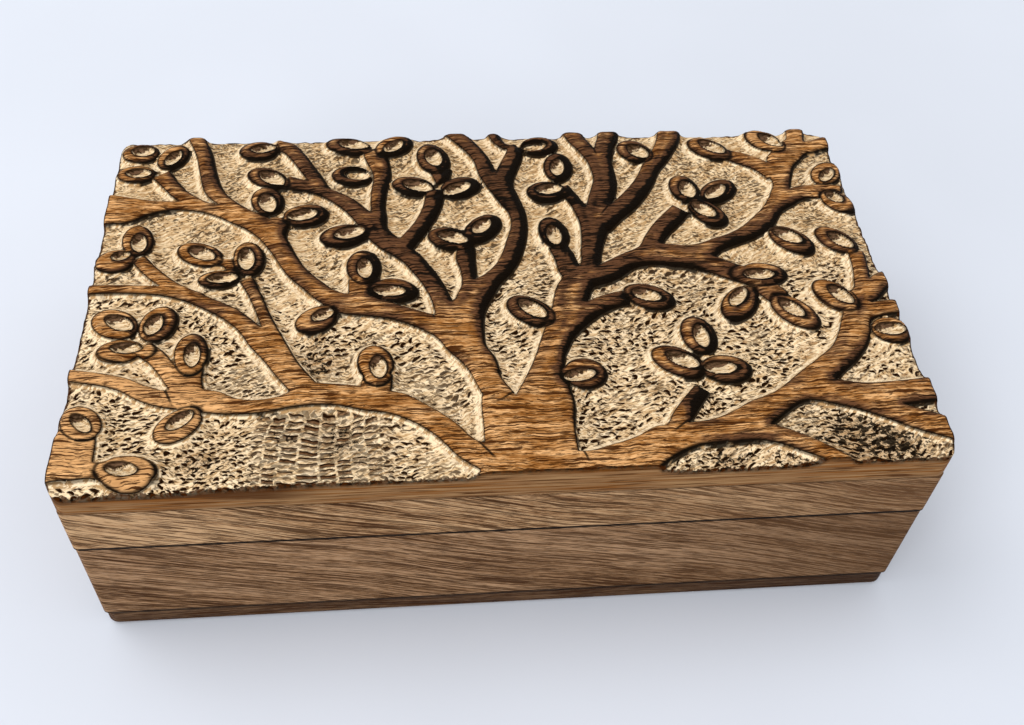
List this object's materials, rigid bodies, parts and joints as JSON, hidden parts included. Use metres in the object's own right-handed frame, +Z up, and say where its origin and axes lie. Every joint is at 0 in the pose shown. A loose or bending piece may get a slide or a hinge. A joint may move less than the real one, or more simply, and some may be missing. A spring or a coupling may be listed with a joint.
{
  "type": "keepsake box",
  "caption": "Wooden keepsake box with a hinged lid; the lid's top board is carved in relief with a branching tree and ringed leaves.",
  "frame": {"origin": "on the surface it stands on, under the middle of the closed box", "axes": "+X to the right along the long side, +Y from front to back where the hinges are, +Z up"},
  "size_m": [0.254, 0.15, 0.0749],
  "materials": {
    "carved_wood": "carved relief, scorched dark brown over a pale tooled ground, satin",
    "frame_wood": "mid-brown open-grained hardwood, satin",
    "bottom_wood": "darker brown hardwood, satin",
    "hinge_brass": "plain brass",
    "screw_brass": "plain brass",
    "pin_steel": "drawn wire"
  },
  "bodies": {
    "base": {"bottom_board": "bottom_wood", "base_front_wall": "frame_wood", "base_back_wall": "frame_wood", "base_left_wall": "frame_wood", "base_right_wall": "frame_wood", "left_hinge_base_leaf": "hinge_brass", "left_hinge_base_screws": "screw_brass", "left_hinge_pin": "pin_steel", "right_hinge_base_leaf": "hinge_brass", "right_hinge_base_screws": "screw_brass", "right_hinge_pin": "pin_steel"},
    "lid": {"carved_top_board": "carved_wood", "lid_front_wall": "frame_wood", "lid_back_wall": "frame_wood", "lid_left_wall": "frame_wood", "lid_right_wall": "frame_wood", "left_hinge_lid_leaf": "hinge_brass", "left_hinge_lid_screws": "screw_brass", "right_hinge_lid_leaf": "hinge_brass", "right_hinge_lid_screws": "screw_brass"}
  },
  "joints": [
    {"name": "lid_hinge", "type": "hinge", "parent": "base", "child": "lid", "pos_m": [0, 0.0718, 0.04415], "axis": [-1, 0, 0], "range_deg": [0, 100]}
  ]
}
